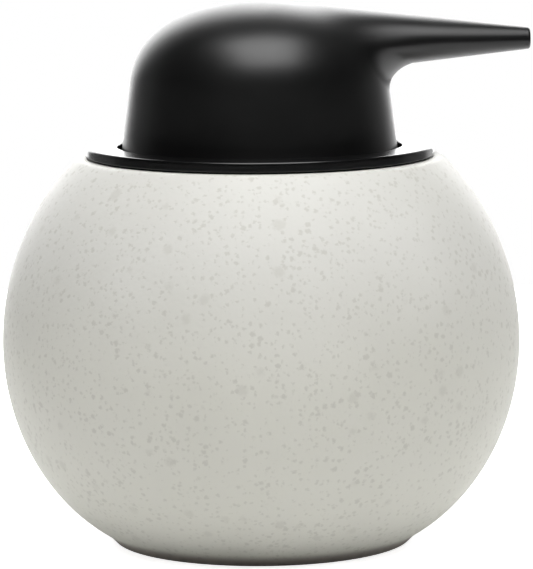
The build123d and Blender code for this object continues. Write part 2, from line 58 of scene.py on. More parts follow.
# Jar
JAR_RADIUS = 54.7
BELLY_Z = 42.7
BELLY_OFFSET = 16.5
BASE_RADIUS = 33.15
SHOULDER_RISE = 55.1
JAR_WALL = 5.0
JAR_FLOOR = 6.0
FOOT_HEIGHT = 2.0
FOOT_INSET = 2.0
FOOT_WIDTH = 5.0
RIM_RADIUS = 38.513
MOUTH_RADIUS = 33.513
THROAT_LENGTH = 5.6
THROAT_FLARE = 4.1
JAR_RING = 280

# Press head
HEAD_BASE_RADIUS = 28.95
HEAD_HEIGHT = 30.25
HEAD_DRAFT = tan(radians(7.4))
SHOULDER_HEIGHT = 13.85
CROWN_FULLNESS = 0.60
CROWN_WALL = 2.8
SKIRT_DEPTH = 2.0
SKIRT_WALL = 2.2
LEDGE_DROP = 2.6

# Spout: wider than tall, with its upper side lifted and its root blended into the head
SPOUT_REACH = 57.0
SPOUT_TIP_RADIUS = 2.05
SPOUT_SLOPE = tan(radians(6.5))
SPOUT_SPREAD = 0.115
TIP_SPREAD = 0.4
SPOUT_LIFT = 0.35
LIFT_START, LIFT_RUN = 6.0, 14.0
SPOUT_BLEND = 5.3
ROOT_BLEND = 16.0
SOFT_FROM, SOFT_OVER = 0.9, 1.0
SPOUT_WALL = 1.8
TIP_WALL = 0.8
TIP_ROUND = 0.6
LIP_EASE = 0.12
TIP_BORE = SPOUT_TIP_RADIUS - TIP_WALL
SPOUT_ROOT_X = 3.5

# Collar cup
COLLAR_RADIUS = 36.713
HOLE_RADIUS = 30.013
WELL_RADIUS = 32.013
GROOVE_RADIUS = 31.213
COLLAR_THICKNESS = 2.05
SEAL_FLANGE = 0.4
SEAL_HEIGHT = 5.0
WELL_DEPTH = 14.55
WELL_FLOOR = 2.0
NECK_BORE, NECK_RADIUS, NECK_HEIGHT = 7.5, 10.0, 7.0
COLLAR_RING = 320

# Dip tube
TUBE_RADIUS = 2.4
TUBE_WALL = 0.65
TUBE_CUT = tan(radians(35.0))

# Heights that follow from the jar's curves
belly_width = JAR_RADIUS - BELLY_OFFSET
belly_drop = (BELLY_Z - FOOT_HEIGHT) / sqrt(1 - ((BASE_RADIUS - BELLY_OFFSET) / belly_width) ** 2)
rim_z = BELLY_Z + SHOULDER_RISE * sqrt(1 - (RIM_RADIUS / JAR_RADIUS) ** 2)
collar_z = rim_z + SEAL_FLANGE
collar_top = collar_z + COLLAR_THICKNESS
skirt_z = collar_top - SKIRT_DEPTH
well_z = collar_top - WELL_DEPTH
shoulder_z = collar_top + SHOULDER_HEIGHT
head_top = collar_top + HEAD_HEIGHT
spout_low, spout_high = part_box("spout_tube")
spout_z = (spout_low.z + spout_high.z) / 2 / MM


# Surfaces

def skin(name, grid):
    """One closed piece from a grid of points in mm, as rows of closed rings. An end row that
    has shrunk to a point becomes a pole; without poles the last row joins the first."""
    poles = [np.ptp(row, axis=0).max() < TINY for row in (grid[0], grid[-1])]
    inner = grid[int(poles[0]):len(grid) - int(poles[1])]
    ring = grid.shape[1]
    index = np.arange(inner.shape[0] * ring).reshape(-1, ring)
    points = inner.reshape(-1, 3)
    rows = index if any(poles) else np.vstack((index, index[:1]))
    beside = np.roll(rows, -1, axis=1)
    quads = np.stack((rows[:-1], beside[:-1], beside[1:], rows[1:]), axis=-1).reshape(-1, 4)
    faces = [quads]
    for pole, end, line, other in ((poles[0], grid[0], rows[0], beside[0]),
                                   (poles[1], grid[-1], beside[-1], rows[-1])):
        if pole:
            tip = np.full(ring, len(points))
            points = np.vstack((points, end[:1]))
            faces.append(np.stack((tip, other, line), axis=-1))
    corners = [points[f] for f in faces]
    volume = sum(np.einsum("ij,ij->", c[:, 0], np.cross(c[:, i], c[:, i + 1]))
                 for c in corners for i in range(1, c.shape[1] - 1))
    if volume < 0:
        faces = [f[:, ::-1] for f in faces]
    mesh = bpy.data.meshes.new(name)
    mesh.from_pydata((points * MM).tolist(), [], [f for part in faces for f in part.tolist()])
    mesh.shade_smooth()
    piece = bpy.data.objects.new(name, mesh)
    bpy.context.scene.collection.objects.link(piece)
    return piece


def turned(section, ring=192):
    """A section of (radius, height) points carried round the Z axis."""
    angle = np.linspace(0, 2 * pi, ring, endpoint=False)
    radius, height = section[:, :1], section[:, 1:]
    return np.stack((radius * np.cos(angle), radius * np.sin(angle),
                     np.broadcast_to(height, (len(section), ring))), axis=-1)


def trimmed(run, start, end, count):
    """A run of points with a length cut off each end, resampled evenly by length; a straight
    run keeps two close points at each end, so that its flat stays flat when shaded."""
    step = np.hypot(*np.diff(run, axis=0).T)
    along = np.concatenate(([0.0], np.cumsum(step)))
    first, last = start, along[-1] - end
    hold = min(0.25, (last - first) / 4)
    ends = np.array([first, first + hold, last - hold, last])
    keep = np.linspace(first, last, count) if count else ends
    return np.column_stack((np.interp(keep, along, run[:, 0]), np.interp(keep, along, run[:, 1])))


def outline(runs, eases, bend=6, closed=False):
    """Runs of points joined into one section. The corner after each run is eased by a quadratic
    arc that leaves one run and meets the next at the ease's length from the corner.
    A run is (points, count); count None marks a straight run."""
    before = [eases[-1], *eases[:-1]] if closed else [0.0, *eases]
    after = list(eases) if closed else [*eases, 0.0]
    cut = [trimmed(np.asarray(run, float), b, a, count) for (run, count), b, a in zip(runs, before, after)]
    t = np.linspace(0, 1, bend + 2)[1:-1, None]
    parts = []
    for i, line in enumerate(cut):
        parts.append(line)
        if closed or i < len(cut) - 1:
            corner = np.asarray(runs[i][0][-1], float)
            target = cut[(i + 1) % len(cut)][0]
            parts.append((1 - t) ** 2 * line[-1] + 2 * t * (1 - t) * corner + t ** 2 * target)
    return np.vstack(parts)


def ring_section(corners, ease, bend=4):
    """A closed section with straight sides between its corners, all corners eased alike or
    each by its own length."""
    corners = [np.asarray(c, float) for c in corners]
    eases = list(ease) if np.ndim(ease) else [ease] * len(corners)
    runs = [((a, b), None) for a, b in zip(corners, corners[1:] + corners[:1])]
    return outline(runs, eases[1:] + eases[:1], bend, closed=True)


def jar_curve(offset, width, height, start, end, samples=1500):
    """Part of an ellipse at the belly's height, its centre off the axis: the offset plus the
    width times the cosine, and the height times the sine, between two angles."""
    angle = np.linspace(start, end, samples)
    return np.column_stack((offset + width * np.cos(angle), BELLY_Z + height * np.sin(angle)))


def jar_section():
    """From the underside's centre out over the foot ring, up the belly and the shoulder, over the
    rim and back down the throat and the inner wall to the floor's centre."""
    throat_z = rim_z - THROAT_LENGTH
    vault, hollow = SHOULDER_RISE - JAR_WALL, belly_drop - JAR_WALL
    foot_angle = asin((BELLY_Z - FOOT_HEIGHT) / belly_drop)
    rim_angle = asin((rim_z - BELLY_Z) / SHOULDER_RISE)
    flare_angle = asin((throat_z - THROAT_FLARE - BELLY_Z) / vault)
    floor_angle = asin((BELLY_Z - JAR_FLOOR) / hollow)
    outside = np.vstack((jar_curve(BELLY_OFFSET, belly_width, belly_drop, -foot_angle, 0),
                         jar_curve(0, JAR_RADIUS, SHOULDER_RISE, 0, rim_angle)[1:]))
    inside = np.vstack((jar_curve(0, JAR_RADIUS - JAR_WALL, vault, flare_angle, 0),
                        jar_curve(BELLY_OFFSET, belly_width - JAR_WALL, hollow, 0, -floor_angle)[1:]))
    foot_out = BASE_RADIUS - FOOT_INSET
    foot_in = foot_out - FOOT_WIDTH
    runs = [
        ([(0, FOOT_HEIGHT), (foot_in, FOOT_HEIGHT)], 12),
        ([(foot_in, FOOT_HEIGHT), (foot_in, 0)], None),
        ([(foot_in, 0), (foot_out, 0)], None),
        ([(foot_out, 0), outside[0]], None),
        (outside, 150),
        ([outside[-1], (MOUTH_RADIUS, rim_z)], None),
        ([(MOUTH_RADIUS, rim_z), (MOUTH_RADIUS, throat_z)], None),
        ([(MOUTH_RADIUS, throat_z), inside[0]], None),
        (inside, 70),
        ([inside[-1], (0, JAR_FLOOR)], 14),
    ]
    eases = [0.6, 0.5, 0.5, 0.5, 0.8, 0.6, 1.2, 2.0, 4.0]
    return outline(runs, eases, bend=8)


# Press head

def halved(test, low, high, steps=48):
    """The value where a test stops being true, by halving each interval again and again."""
    for _ in range(steps):
        middle = (low + high) / 2
        true = test(middle)
        low, high = np.where(true, middle, low), np.where(true, high, middle)
    return (low + high) / 2


def dome_table(wall, skirt_wall):
    """The dome's section seen from a point on its axis, as distances over angles: a drafted
    side below the shoulder and a cubic Bezier crown above it, a wall inside the outer face."""
    radius = HEAD_BASE_RADIUS - HEAD_DRAFT * SHOULDER_HEIGHT - wall
    top = head_top - wall
    handle = CROWN_FULLNESS * (top - shoulder_z)
    t = np.linspace(0, 1, 6000)[:, None]
    control = np.array([(radius, shoulder_z), (radius - HEAD_DRAFT * handle, shoulder_z + handle),
                        (CROWN_FULLNESS * radius, top), (0, top)])
    crown = ((1 - t) ** 3 * control[0] + 3 * t * (1 - t) ** 2 * control[1]
             + 3 * t ** 2 * (1 - t) * control[2] + t ** 3 * control[3])
    below_skirt = 12
    low, ledge = skirt_z - below_skirt, shoulder_z - LEDGE_DROP
    share = np.linspace(0, 1, 2000, endpoint=False)[:, None]
    foot, step = (np.array((HEAD_BASE_RADIUS - skirt_wall - HEAD_DRAFT * (z - collar_top), z))
                  for z in (low, ledge))
    side = np.vstack((foot + share * (step - foot), step + share * (control[0] - step)))
    section = np.vstack((side, crown))
    angle = np.arctan2(section[:, 1] - shoulder_z, section[:, 0])
    reach = np.hypot(section[:, 0], section[:, 1] - shoulder_z)
    return angle, reach, np.gradient(reach, angle)


def spout_outside(x):
    """Half width, height above the axis and depth below it, by the distance x along the spout:
    the depth grows by the slope from the tip back. The half width is the depth, the tip's own
    spread and a share of the way back from the tip, and the height is the depth and a lift that
    fades out under the crown."""
    back = SPOUT_REACH - x
    depth = SPOUT_TIP_RADIUS + SPOUT_SLOPE * back
    wide = depth + TIP_SPREAD + SPOUT_SPREAD * back
    free = np.clip((x - LIFT_START) / LIFT_RUN, 0, 1)
    return wide, depth + SPOUT_LIFT * free ** 2 * (3 - 2 * free), depth


def spout_inside(x):
    """The same three sizes of the spout's round core, a bore that widens behind the tip."""
    core_x = SPOUT_REACH - (SPOUT_WALL - TIP_WALL) / SPOUT_SLOPE
    depth = TIP_BORE + SPOUT_SLOPE * np.maximum(core_x - x, 0)
    return depth, depth, depth


def head_field(points, table, spout, blends):
    """Below zero inside the head: the smaller of the distances to the dome and to the spout,
    rounded where they meet. Under the spout a ball of the first blend's radius is rolled along
    the corner. Towards its upper side the cube of their nearness draws the two together, within
    the second blend's length, which shrinks where both face alike."""
    angle, reach, slope = table
    x, y, z = points[..., 0], points[..., 1], points[..., 2] - shoulder_z
    flat = np.hypot(x, y)
    lift = np.arctan2(z, flat)
    radius, turn = np.interp(lift, angle, reach), np.interp(lift, angle, slope)
    tilt = np.sqrt(1 + (turn / radius) ** 2)
    dome = (np.hypot(flat, z) - radius) / tilt
    out = (np.cos(lift) + np.sin(lift) * turn / radius) / tilt
    up = (np.sin(lift) - np.cos(lift) * turn / radius) / tilt
    rise = points[..., 2] - spout_z
    wide, height, depth = spout(x)
    tall = np.where(rise > 0, height, depth)
    off = np.hypot(y / wide, rise / tall) + TINY
    beside, above = depth * y / (wide ** 2 * off), depth * rise / (tall ** 2 * off)
    lean = 1 / np.sqrt(SPOUT_SLOPE ** 2 + beside ** 2 + above ** 2)
    cone = np.maximum(depth * (off - 1) * lean, SPOUT_ROOT_X - x)
    match = lean * (out * (SPOUT_SLOPE * x + beside * y) / (flat + TINY) + up * above)
    ball, soft = blends
    a, b = ball - dome, ball - cone
    round_gap = np.maximum(a * a + b * b - 2 * match * a * b, 0) / np.maximum(1 - match ** 2, TINY)
    corner = (a > 0) & (b > 0) & (a > match * b) & (b > match * a)
    sharp = np.minimum(dome, cone)
    rolled = np.where(corner, ball - np.sqrt(round_gap), sharp)
    soft = np.maximum(soft * np.sqrt(np.maximum(1 - match, 0)), TINY)
    drawn = sharp - soft / 6 * np.maximum(1 - np.abs(dome - cone) / soft, 0) ** 3
    share = np.clip((rise / (tall * off) + SOFT_FROM) / SOFT_OVER, 0, 1)
    return rolled + share ** 2 * (3 - 2 * share) * (drawn - rolled)


def toward(t, turn):
    """Directions on a sphere by two poles: t = 0 looks along the spout, t without limit looks
    straight down, and turn goes round both."""
    u, v = t * np.cos(turn), t * np.sin(turn)
    q = (1 - u) ** 2 + v ** 2
    return np.stack((2 * (1 - u), 2 * v, 1 - q), axis=-1) / (1 + q)[..., None]


def head_skin(table, spout, blends, rim_radius, tip_x, rows, turn):
    """One skin of the head: rays from a point on the spout's axis, from its tip round to the
    skirt's edge, each stopped where it leaves the field."""
    eye_x, nearest, farthest = 10.0, 1.0, 80.0
    tip_most, rim_least, rim_most = 0.5, 0.3, 20.0
    eye = np.array((eye_x, 0, spout_z))

    def before_tip(t):
        look = toward(t, turn)
        return head_field(eye + (tip_x - eye_x) / look[:, :1] * look, table, spout, blends) < 0

    def before_rim(t):
        look = toward(t, turn)
        drop = (skirt_z - spout_z) / np.minimum(look[:, 2], -TINY)
        outside = np.hypot(eye_x + drop * look[:, 0], drop * look[:, 1]) > rim_radius
        return (look[:, 2] >= -TINY) | outside

    first = halved(before_tip, np.zeros_like(turn), np.full_like(turn, tip_most))
    last = halved(before_rim, np.full_like(turn, rim_least), np.full_like(turn, rim_most))
    share = np.linspace(0, 1, rows)[:, None]
    ray = toward(first ** (1 - share) * last ** share, np.broadcast_to(turn, (rows, len(turn))))
    inside = lambda far: head_field(eye + far[..., None] * ray, table, spout, blends) < 0
    far = halved(inside, np.full(ray.shape[:2], nearest), np.full(ray.shape[:2], farthest))
    return eye + far[..., None] * ray


def head_grid(ring=256, outer_rows=190, inner_rows=70):
    """The whole head: outer skin from tip to skirt, the skirt's edge, inner skin back to the
    bore, and the lip round the outlet."""
    turn = np.linspace(0, 2 * pi, ring, endpoint=False)
    skirt_radius = HEAD_BASE_RADIUS + HEAD_DRAFT * SKIRT_DEPTH
    outer = head_skin(dome_table(0, 0), spout_outside, (SPOUT_BLEND, ROOT_BLEND), skirt_radius,
                      SPOUT_REACH - TIP_ROUND, outer_rows, turn)
    inner = head_skin(dome_table(CROWN_WALL, SKIRT_WALL), spout_inside, (1.0, 1.0),
                      skirt_radius - SKIRT_WALL, SPOUT_REACH - LIP_EASE, inner_rows, turn)
    axis = np.array((0, 0, spout_z))
    spoke = (outer[0] - axis) * (0, 1, 1)
    edge_radius = np.linalg.norm(spoke, axis=1)[:, None]
    spoke /= edge_radius
    bend = np.linspace(0, pi / 2, 7)[:, None, None]
    flat, steep = 1 - np.cos(bend), 1 - np.sin(bend)
    outer_lip = edge_radius - TIP_ROUND * (1 + SPOUT_SLOPE) * flat[::-1]
    inner_lip = np.broadcast_to(TIP_BORE + LIP_EASE * flat, outer_lip.shape)
    lip_radius = np.concatenate((inner_lip, outer_lip))
    lip_x = SPOUT_REACH - np.concatenate((LIP_EASE * steep, TIP_ROUND * steep[::-1]))
    lip = axis + lip_radius * spoke + lip_x * np.array((1, 0, 0))
    edge = np.linspace(0, 1, 6)[1:-1, None, None] * (inner[-1] - outer[-1]) + outer[-1]
    return np.vstack((outer, edge, inner[::-1], lip[1:-1]))


# Pump pieces

def coil_grid(low, high, radius=4.0, wire=0.9, coils=5, end_gap=0.45, steps=44, ring=14):
    """A round wire wound on a helix, its first and last turn wound close: at each angle a ring
    of points square to the wire, and a single point to close each end."""
    turns = coils + 2
    close = wire + end_gap
    angle = np.linspace(0, 2 * pi * turns, steps * turns + 1)
    marks = [0, 1, turns - 1, turns]
    levels = [low + wire / 2, low + wire / 2 + close, high - wire / 2 - close, high - wire / 2]
    height = np.interp(angle / (2 * pi), marks, levels)
    climb = np.gradient(height, angle)
    spoke = np.stack((np.cos(angle), np.sin(angle), 0 * angle), axis=-1)
    along = np.stack((-radius * np.sin(angle), radius * np.cos(angle), climb), axis=-1)
    along /= np.linalg.norm(along, axis=1)[:, None]
    square = np.cross(along, spoke)
    centre = radius * spoke + np.stack((0 * angle, 0 * angle, height), axis=-1)
    around = np.linspace(0, 2 * pi, ring, endpoint=False)[:, None]
    wall = centre[:, None] + wire / 2 * (np.cos(around) * spoke[:, None] + np.sin(around) * square[:, None])
    ends = [np.broadcast_to(c, (1, ring, 3)) for c in (centre[0], centre[-1])]
    return np.vstack((ends[0], wall, ends[1]))


def tube_grid(low, high, radius, wall, cut, ring=64, rows=24):
    """A straight tube whose lower end is cut at a slant: each height runs from the slanted
    plane, which depends on x, up to the flat top, down the inside and back."""
    angle = np.linspace(0, 2 * pi, ring, endpoint=False)
    ease = 0.12
    share = np.concatenate(([0, 0.01], np.linspace(0.05, 0.95, rows), [0.99, 1]))
    radii = np.concatenate((np.full(len(share), radius), [radius - ease, radius - wall + ease],
                            np.full(len(share), radius - wall), [radius - wall + ease, radius - ease]))
    share = np.concatenate((share, [1, 1], share[::-1], [0, 0]))
    x, y = radii[:, None] * np.cos(angle), radii[:, None] * np.sin(angle)
    floor = low + (radius - x) * cut
    return np.stack((x, y, floor + share[:, None] * (high - floor)), axis=-1)


def seal_section():
    """The soft ring in the cup's groove: a flange under the collar and a sleeve with two lips."""
    sleeve_wall, flange_width, lip_gap = 1.2, 3.5, 0.15
    drop, touch = 0.9, 0.15
    sleeve, lip, flange = GROOVE_RADIUS + sleeve_wall, MOUTH_RADIUS - lip_gap, WELL_RADIUS + flange_width
    low = collar_z - SEAL_HEIGHT
    corners = [(GROOVE_RADIUS, collar_z), (flange, collar_z), (flange, rim_z), (sleeve, rim_z),
               (sleeve, rim_z - drop), (lip, rim_z - 2 * drop + touch), (sleeve, rim_z - 2 * drop),
               (sleeve, rim_z - 3 * drop), (lip, rim_z - 4 * drop + touch), (sleeve, rim_z - 4 * drop),
               (sleeve, low), (GROOVE_RADIUS, low)]
    return ring_section(corners, 0.06)


def housing_section():
    """The pump's cylinder: flange, bore, conical inlet seat and the socket for the dip tube."""
    low, high = (v.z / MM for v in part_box("pump_housing"))
    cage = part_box("ball_cage")[0].z / MM
    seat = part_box("dip_tube")[1].z / MM
    bore, wall, flange = 6.0, 7.1, 10.0
    hole, chamber, socket, outer = 1.568, 3.0, 2.43, 4.8
    flange_thick, floor_thick, seat_thick = 1.4, 1.1, 1.2
    under = high - flange_thick
    apex = seat + seat_thick - hole
    corners = [(bore, high), (flange, high), (flange, under), (wall, under), (wall, cage - floor_thick),
               (outer, apex + chamber), (outer, low), (socket, low), (socket, seat), (hole, seat),
               (hole, apex + hole), (chamber, apex + chamber), (chamber, cage), (bore, cage)]
    eases = [0.1, 0.3, 0.3, 0.3, 0.8, 0.6, 0.3, 0.2, 0.08, 0.08, 0.08, 0.2, 0.2, 0.08]
    return ring_section(corners, eases)


def cup_section():
    """Collar disc, well for the head, and the neck that the pump is clamped to."""
    groove_z = collar_z - SEAL_HEIGHT
    under = well_z - WELL_FLOOR
    neck_top = well_z + NECK_HEIGHT
    corners = [(HOLE_RADIUS, collar_top), (COLLAR_RADIUS, collar_top), (COLLAR_RADIUS, collar_z),
               (GROOVE_RADIUS, collar_z), (GROOVE_RADIUS, groove_z), (WELL_RADIUS, groove_z),
               (WELL_RADIUS, under), (NECK_BORE, under), (NECK_BORE, neck_top), (NECK_RADIUS, neck_top),
               (NECK_RADIUS, well_z), (HOLE_RADIUS, well_z)]
    eases = [0.6, 0.6, 0.15, 0.1, 0.1, 0.2, 1.0, 0.2, 0.2, 0.2, 0.3, 0.8]
    return ring_section(corners, eases, bend=6)


# Finishes

def add(tree, kind, settings=None, **inputs):
    """A node with its settings and its inputs; an input is a value or a socket to link from.
    Underscores stand for spaces in an input's name, and i with a number is an input's place."""
    node = tree.nodes.new(kind)
    for key, value in (settings or {}).items():
        setattr(node, key, value)
    for key, value in inputs.items():
        by_place = key[0] == "i" and key[1:].isdigit()
        socket = node.inputs[int(key[1:]) if by_place else key.replace("_", " ")]
        if isinstance(value, bpy.types.NodeSocket):
            tree.links.new(value, socket)
        else:
            socket.default_value = value
    return node


def math(tree, operation, *values, clamp=False):
    """The result of a Math node."""
    inputs = {f"i{i}": v for i, v in enumerate(values)}
    return add(tree, "ShaderNodeMath", {"operation": operation, "use_clamp": clamp}, **inputs).outputs[0]


def ramp(tree, value, low, high, out_low=0.0, out_high=1.0):
    """A smooth step from one value to another."""
    node = add(tree, "ShaderNodeMapRange", {"interpolation_type": "SMOOTHSTEP"},
               Value=value, From_Min=low, From_Max=high, To_Min=out_low, To_Max=out_high)
    return node.outputs[0]


def tint(tree, factor, a, b):
    """A colour between two colours."""
    node = add(tree, "ShaderNodeMix", {"data_type": "RGBA"}, i0=factor, i6=a, i7=b)
    return node.outputs[2]


def noise(tree, vector, scale, detail=2.0, rough=0.5):
    """The value of a noise texture, about 0.5 with a spread near 0.1."""
    node = add(tree, "ShaderNodeTexNoise", Vector=vector, Scale=scale, Detail=detail, Roughness=rough)
    return node.outputs[0]


def finish(name, **plain):
    """A material with its shader's plain inputs set; returns it with its tree, its shader and the
    piece's own coordinates."""
    material = bpy.data.materials.new(name)
    material.use_nodes = True
    tree = material.node_tree
    shader = tree.nodes["Principled BSDF"]
    for key, value in plain.items():
        shader.inputs[key.replace("_", " ")].default_value = value
    return material, tree, shader, add(tree, "ShaderNodeTexCoord").outputs["Object"]


def grain_group():
    """Moulded grain, shared by plastics, rubber and steel: a fine bumpy texture as a normal, a
    roughness that wanders between two values, and a slow shade for the colour."""
    group = bpy.data.node_groups.new("moulded_grain", "ShaderNodeTree")
    face = group.interface
    for name, kind, default in (("Vector", "NodeSocketVector", None), ("Scale", "NodeSocketFloat", 4000.0),
                                ("Depth", "NodeSocketFloat", 0.000004), ("Smooth", "NodeSocketFloat", 0.3),
                                ("Rough", "NodeSocketFloat", 0.4)):
        socket = face.new_socket(name, in_out="INPUT", socket_type=kind)
        if default is not None:
            socket.default_value = default
    for name, kind in (("Roughness", "NodeSocketFloat"), ("Shade", "NodeSocketFloat"),
                       ("Normal", "NodeSocketVector")):
        face.new_socket(name, in_out="OUTPUT", socket_type=kind)
    source = group.nodes.new("NodeGroupInput").outputs
    sink = group.nodes.new("NodeGroupOutput").inputs
    fine = noise(group, source["Vector"], source["Scale"], 2.0)
    slow = noise(group, source["Vector"], 60.0, 3.0)
    bump = add(group, "ShaderNodeBump", Strength=0.6, Distance=source["Depth"], Height=fine)
    blend = math(group, "ADD", math(group, "MULTIPLY", fine, 0.5), math(group, "MULTIPLY", slow, 0.5))
    rough = add(group, "ShaderNodeMapRange", Value=blend, From_Min=0.35, From_Max=0.65,
                To_Min=source["Smooth"], To_Max=source["Rough"])
    group.links.new(rough.outputs[0], sink["Roughness"])
    group.links.new(ramp(group, slow, 0.3, 0.7), sink["Shade"])
    group.links.new(bump.outputs[0], sink["Normal"])
    return group


moulded_grain = grain_group()


def moulded(name, dark, light, smooth, rough, scale=4000.0, depth=0.000004, **plain):
    """A moulded or drawn finish: colour between two close tones, roughness and grain."""
    material, tree, shader, spot = finish(name, **plain)
    grain = add(tree, "ShaderNodeGroup", {"node_tree": moulded_grain}, Vector=spot, Scale=scale,
                Depth=depth, Smooth=smooth, Rough=rough)
    tree.links.new(tint(tree, grain.outputs["Shade"], dark, light), shader.inputs["Base Color"])
    tree.links.new(grain.outputs["Roughness"], shader.inputs["Roughness"])
    tree.links.new(grain.outputs["Normal"], shader.inputs["Normal"])
    return material


def specks(tree, spot, scale, largest, share, density):
    """Irregular spots: one in each cell of a warped cell pattern, its size drawn from the cell's
    own random number and scaled by a slow density, with soft edges."""
    cells = add(tree, "ShaderNodeTexVoronoi", Vector=spot, Scale=scale, Randomness=1.0)
    draw = add(tree, "ShaderNodeSeparateColor", Color=cells.outputs["Color"]).outputs[0]
    size = math(tree, "MULTIPLY", ramp(tree, draw, 1 - share, 1.0, 0.0, largest), density)
    edge = math(tree, "SUBTRACT", size, cells.outputs["Distance"])
    return ramp(tree, edge, -0.14, 0.13)


def speckled_glaze():
    """Satin off-white glaze over stoneware: warm grey specks of three sizes in drifting patches, a fine
    orange-peel relief with pits at the specks and slow clouding. A painted sheen makes the tone more
    neutral towards the top and leaves it warmer below; painted shade gives the unglazed foot ring and
    the glaze just above it a dark clay colour."""
    warm_dark, warm_light = (0.547, 0.543, 0.488, 1), (0.571, 0.567, 0.513, 1)
    # The upper tones are a painted sheen: more neutral than the warm glaze below, standing in for the
    # overhead light's highlight on the shoulder.
    sheen_dark, sheen_light = (0.547, 0.543, 0.512, 1), (0.571, 0.567, 0.538, 1)
    # The dark clay colour is painted shade on the unglazed foot, where it meets the floor.
    speck_grey, clay_with_painted_shade = (0.40, 0.39, 0.35, 1), (0.22, 0.20, 0.18, 1)
    warm_z, sheen_z = 0.035, 0.070
    glazed_z, shaded_bare_z = 0.0034, 0.0006
    material, tree, shader, spot = finish("speckled_glaze", Specular_IOR_Level=0.27)
    wander = add(tree, "ShaderNodeTexNoise", Vector=spot, Scale=1500.0, Detail=2.0).outputs["Color"]
    centred = add(tree, "ShaderNodeVectorMath", {"operation": "SUBTRACT"}, i0=wander, i1=(0.5, 0.5, 0.5))
    shift = add(tree, "ShaderNodeVectorMath", {"operation": "SCALE"}, i0=centred.outputs[0], Scale=0.0011)
    moved = add(tree, "ShaderNodeVectorMath", {"operation": "ADD"}, i0=spot, i1=shift.outputs[0])
    warped = moved.outputs[0]
    drift = ramp(tree, noise(tree, spot, 90.0, 3.0), 0.35, 0.65, 0.85, 1.12)
    small = specks(tree, warped, 900.0, 0.34, 0.95, drift)
    middle = specks(tree, warped, 620.0, 0.33, 0.85, drift)
    large = specks(tree, warped, 270.0, 0.32, 0.22, drift)
    marks = math(tree, "MAXIMUM", math(tree, "MULTIPLY", small, 0.85), middle)
    marks = math(tree, "MAXIMUM", marks, math(tree, "MULTIPLY", large, 0.6))
    cloud = noise(tree, spot, 35.0, 4.0)
    height = add(tree, "ShaderNodeSeparateXYZ", Vector=spot).outputs["Z"]
    clouded = ramp(tree, cloud, 0.3, 0.7)
    lower = tint(tree, clouded, warm_dark, warm_light)
    painted_sheen_tone = tint(tree, clouded, sheen_dark, sheen_light)
    # Painted sheen: towards the top the tone turns from the warm glaze to the more neutral sheen tones.
    glaze_and_sheen_tone = tint(tree, ramp(tree, height, warm_z, sheen_z), lower, painted_sheen_tone)
    spotted = tint(tree, math(tree, "MULTIPLY", marks, 0.50), glaze_and_sheen_tone, speck_grey)
    # Painted shade: towards the bottom the colour darkens to the dark clay, on the lowest glaze as well as
    # the foot; the same mask makes the unglazed foot rougher.
    shaded_bare_foot = ramp(tree, height, glazed_z, shaded_bare_z)
    tree.links.new(tint(tree, shaded_bare_foot, spotted, clay_with_painted_shade), shader.inputs["Base Color"])
    satin = math(tree, "ADD", ramp(tree, cloud, 0.3, 0.7, 0.46, 0.52), math(tree, "MULTIPLY", marks, 0.08))
    tree.links.new(math(tree, "ADD", satin, math(tree, "MULTIPLY", shaded_bare_foot, 0.35)), shader.inputs["Roughness"])
    peel = noise(tree, spot, 900.0, 1.0)
    relief = math(tree, "SUBTRACT", math(tree, "MULTIPLY", peel, 0.8), math(tree, "MULTIPLY", marks, 0.5))
    bump = add(tree, "ShaderNodeBump", Strength=0.5, Distance=0.00006, Height=relief)
    tree.links.new(bump.outputs[0], shader.inputs["Normal"])
    return material


glaze = speckled_glaze()
deep_black, soft_black = (0.0022, 0.0022, 0.0023, 1), (0.003, 0.003, 0.0031, 1)
head_black = moulded("head_black", deep_black, soft_black, 0.34, 0.42)
collar_black = moulded("collar_black", deep_black, soft_black, 0.22, 0.268)
tube_black = moulded("tube_black", (0.010, 0.010, 0.010, 1), (0.016, 0.016, 0.016, 1), 0.30, 0.42)
seal_rubber = moulded("seal_rubber", (0.025, 0.025, 0.026, 1), (0.04, 0.04, 0.04, 1), 0.55, 0.75, 2500.0,
                      0.00001)
natural_plastic = moulded("natural_plastic", (0.74, 0.75, 0.74, 1), (0.82, 0.82, 0.80, 1), 0.32, 0.45,
                          Subsurface_Weight=0.25, Subsurface_Scale=0.002)
piston_white = moulded("piston_white", (0.70, 0.70, 0.69, 1), (0.78, 0.78, 0.77, 1), 0.30, 0.42)
core_grey = moulded("core_grey", (0.020, 0.020, 0.021, 1), (0.032, 0.032, 0.033, 1), 0.35, 0.5)
tube_clear = moulded("tube_clear", (0.80, 0.82, 0.81, 1), (0.88, 0.89, 0.88, 1), 0.18, 0.30,
                     Transmission_Weight=0.55, IOR=1.46)
ball_steel = moulded("ball_steel", (0.56, 0.56, 0.57, 1), (0.64, 0.64, 0.65, 1), 0.08, 0.18, Metallic=1.0)
spring_steel = moulded("spring_steel", (0.48, 0.48, 0.49, 1), (0.58, 0.58, 0.58, 1), 0.22, 0.36, 6000.0,
                       Metallic=1.0)


# Assembly

def place(piece, material, body, slot, *stands_for):
    """Gives a piece its finish, the body it moves with and the nodes it stands for."""
    piece.data.materials.append(material)
    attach(piece, body)
    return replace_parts(piece, *stands_for)


place(skin("jar_body", turned(jar_section(), JAR_RING)), glaze, "jar", "speckled_glaze", "jar")
collar = skin("collar_ring", turned(cup_section(), COLLAR_RING))
place(collar, collar_black, "pump", "collar_black", "collar_cup")
place(skin("press_head", head_grid()), head_black, "head", "head_black", "head_shell")
place(skin("lip_seal", turned(seal_section())), seal_rubber, "pump", "seal_rubber", "mouth_seal")
cylinder = skin("pump_cylinder", turned(housing_section()))
place(cylinder, natural_plastic, "pump", "natural_plastic", "pump_housing")

